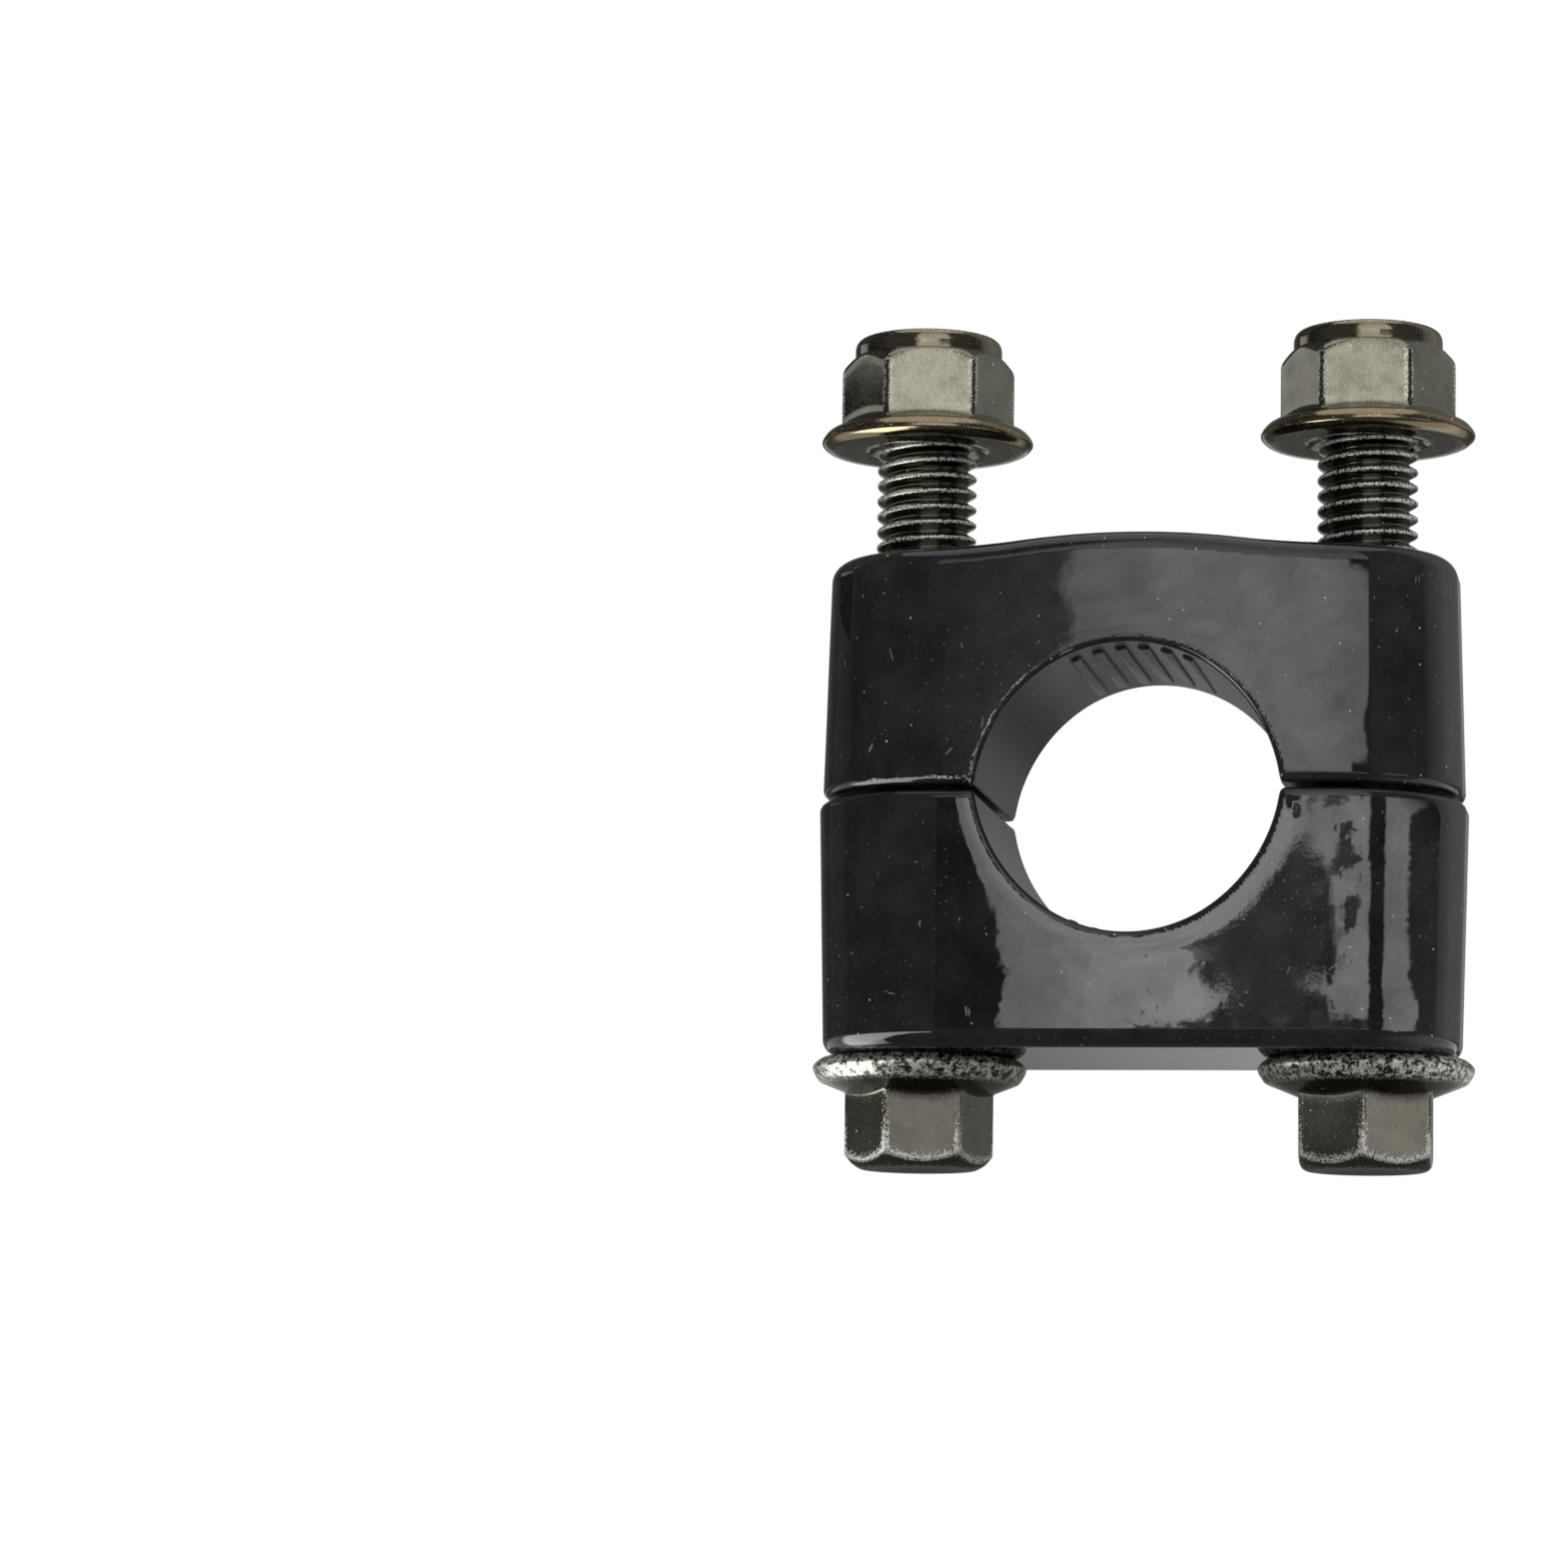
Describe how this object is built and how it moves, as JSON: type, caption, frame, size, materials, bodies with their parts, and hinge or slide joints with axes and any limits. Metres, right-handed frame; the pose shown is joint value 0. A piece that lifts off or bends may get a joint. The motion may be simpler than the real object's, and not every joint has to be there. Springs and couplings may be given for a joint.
{
  "type": "motorcycle bar riser",
  "caption": "Split handlebar clamp for a motorcycle: a flat-seated base and a crowned cap, drawn together by flange bolts from below with locking nuts on top.",
  "frame": {"origin": "on the handlebar's axis, midway along the clamp", "axes": "+Z along the bolts towards the nuts, +Y along the handlebar, +X from the left bolt to the right one"},
  "size_m": [0.0518, 0.024, 0.0663],
  "materials": {
    "black_gloss_paint": "thick gloss black paint over a casting",
    "dark_plated_steel": "dark olive plating, worn bright on edges",
    "nylon_ring": "plain nylon"
  },
  "bodies": {
    "base": {"lower_clamp_half": "black_gloss_paint"},
    "cap": {"upper_clamp_half": "black_gloss_paint"},
    "bolt_left": {"left_bolt": "dark_plated_steel"},
    "bolt_right": {"right_bolt": "dark_plated_steel"},
    "nut_left": {"left_nut": "dark_plated_steel", "left_nut_insert": "nylon_ring"},
    "nut_right": {"right_nut": "dark_plated_steel", "right_nut_insert": "nylon_ring"}
  },
  "joints": [
    {"name": "cap_lift", "type": "slide", "parent": "base", "child": "cap", "axis": [0, 0, 1], "range_m": [0, 0.0092]},
    {"name": "left_bolt_turn", "type": "hinge", "parent": "base", "child": "bolt_left", "pos_m": [-0.0175, 0, 0], "axis": [0, 0, -1], "range_deg": [0, 1890]},
    {"name": "right_bolt_turn", "type": "hinge", "parent": "base", "child": "bolt_right", "pos_m": [0.0175, 0, 0], "axis": [0, 0, -1], "range_deg": [0, 1890]},
    {"name": "left_nut_run", "type": "slide", "parent": "base", "child": "nut_left", "axis": [0, 0, 1], "range_m": [0, 0.00656]},
    {"name": "right_nut_run", "type": "slide", "parent": "base", "child": "nut_right", "axis": [0, 0, 1], "range_m": [0, 0.00656]}
  ],
  "couplings": [
    {"joint": "left_nut_run", "follows": "left_bolt_turn", "m_per_rad": 0.00019894},
    {"joint": "right_nut_run", "follows": "right_bolt_turn", "m_per_rad": 0.00019894}
  ]
}
